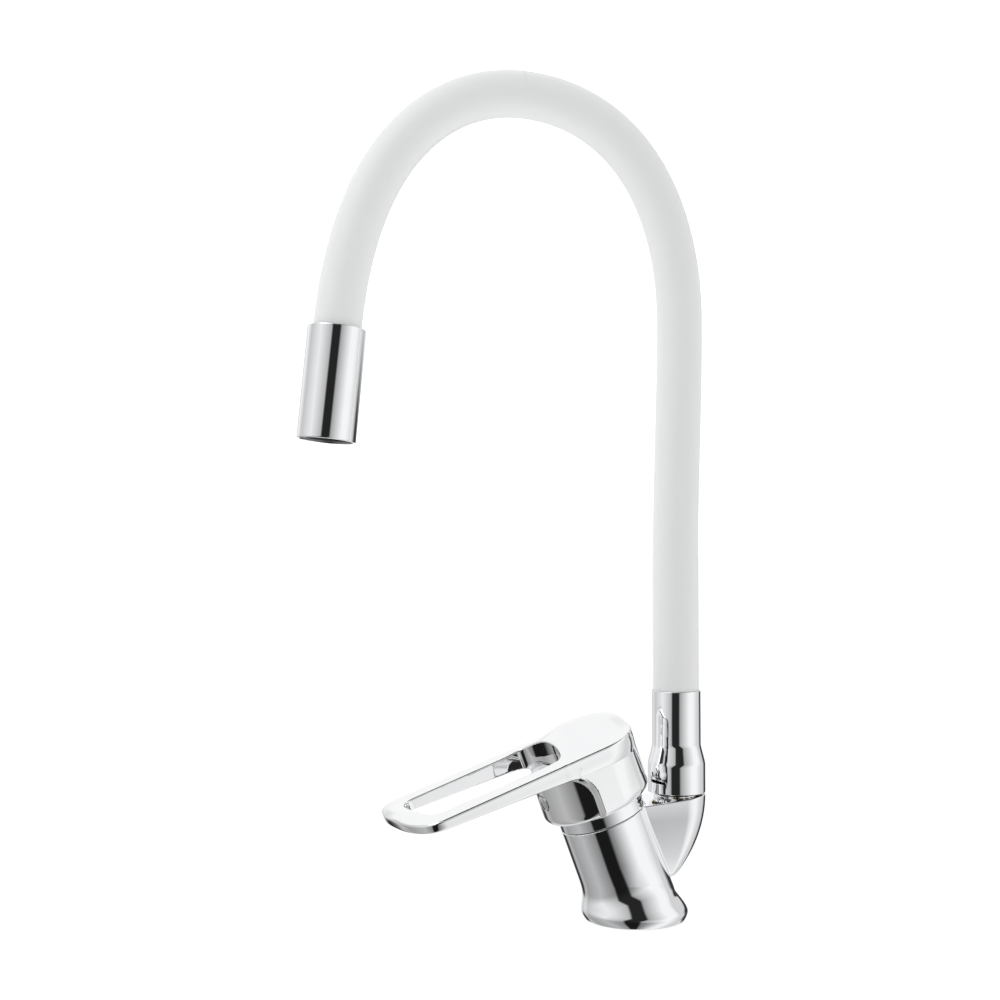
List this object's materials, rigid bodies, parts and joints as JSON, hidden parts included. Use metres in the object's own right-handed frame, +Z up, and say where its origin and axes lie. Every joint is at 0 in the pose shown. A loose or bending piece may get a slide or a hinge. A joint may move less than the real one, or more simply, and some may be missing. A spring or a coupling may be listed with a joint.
{
  "type": "flexible kitchen faucet",
  "caption": "Single-lever deck mixer with a leaning column, a loop lever, and a bendable white hose spout that arches from a swivelling ferrule to a round outlet head.",
  "frame": {"origin": "centre of the round foot, on the deck it stands on", "axes": "+Z up from the deck, -Y towards the user and the outlet, +X to the right of someone who looks along +Y"},
  "size_m": [0.0741, 0.2164, 0.4375],
  "materials": {
    "chrome": "polished",
    "lever_chrome": "polished",
    "brass": "machined",
    "steel": "satin",
    "plug_metal": "satin",
    "white_silicone": "matt",
    "hose_rubber": "matt",
    "seal_rubber": "matt",
    "white_plastic": "moulded",
    "dark_plastic": "moulded",
    "grey_plastic": "moulded",
    "disc_ceramic": "lapped"
  },
  "bodies": {
    "mixer": {"mixer_body": "chrome", "base_gasket": "seal_rubber", "port_seal_left": "seal_rubber", "port_seal_right": "seal_rubber", "port_seal_outlet": "seal_rubber", "cartridge_housing": "white_plastic", "fixed_ceramic_disc": "disc_ceramic", "cartridge_nut": "brass", "trim_ring": "chrome", "spout_nipple": "brass", "lower_o_ring": "seal_rubber", "upper_o_ring": "seal_rubber", "retaining_clip": "white_plastic", "swivel_washer": "dark_plastic"},
    "stem_swivel": {"stem_carrier": "dark_plastic", "stem_pin": "steel"},
    "lever": {"lever_handle": "lever_chrome", "lever_stem": "steel", "lever_set_screw": "steel", "index_plug": "plug_metal"},
    "valve_disc": {"moving_ceramic_disc": "disc_ceramic", "disc_carrier": "grey_plastic"},
    "spout": {"spout_ferrule": "chrome", "spout_insert": "brass", "sleeve_riser": "white_silicone", "gooseneck_riser": "steel", "inner_hose_riser": "hose_rubber", "sleeve_bend_back": "white_silicone", "gooseneck_bend_back": "steel", "inner_hose_bend_back": "hose_rubber"},
    "crown": {"sleeve_crown": "white_silicone", "gooseneck_crown": "steel", "inner_hose_crown": "hose_rubber", "sleeve_bend_front": "white_silicone", "gooseneck_bend_front": "steel", "inner_hose_bend_front": "hose_rubber"},
    "outlet": {"sleeve_drop": "white_silicone", "gooseneck_drop": "steel", "inner_hose_drop": "hose_rubber", "outlet_head": "chrome", "hose_fitting": "brass", "aerator_seal": "seal_rubber", "aerator_housing": "dark_plastic", "aerator_grille": "grey_plastic", "aerator_insert": "white_plastic"}
  },
  "joints": [
    {"name": "lever_turn", "type": "hinge", "parent": "mixer", "child": "stem_swivel", "pos_m": [0, -0.0194, 0.05826], "axis": [0, -0.342, 0.9397], "range_deg": [-53, 37]},
    {"name": "lever_lift", "type": "hinge", "parent": "stem_swivel", "child": "lever", "pos_m": [0, -0.0194, 0.05826], "axis": [-0.9903, -0.1308, -0.0476], "range_deg": [0, 18]},
    {"name": "disc_slide", "type": "slide", "parent": "stem_swivel", "child": "valve_disc", "axis": [0.1392, -0.9305, -0.3387], "range_m": [0, 0.004]},
    {"name": "spout_swivel", "type": "hinge", "parent": "mixer", "child": "spout", "pos_m": [0, 0.0242, 0.0629], "axis": [0, 0, 1], "continuous": true},
    {"name": "back_bend", "type": "hinge", "parent": "spout", "child": "crown", "pos_m": [0, 0.02193, 0.35503], "axis": [1, 0, 0], "range_deg": [-20, 25], "deforming": ["sleeve_bend_back", "gooseneck_bend_back", "inner_hose_bend_back"]},
    {"name": "front_bend", "type": "hinge", "parent": "crown", "child": "outlet", "pos_m": [0, -0.14926, 0.34376], "axis": [1, 0, 0], "range_deg": [-30, 30], "deforming": ["sleeve_bend_front", "gooseneck_bend_front", "inner_hose_bend_front"]}
  ],
  "couplings": [
    {"joint": "disc_slide", "follows": "lever_lift", "m_per_rad": 0.012}
  ]
}
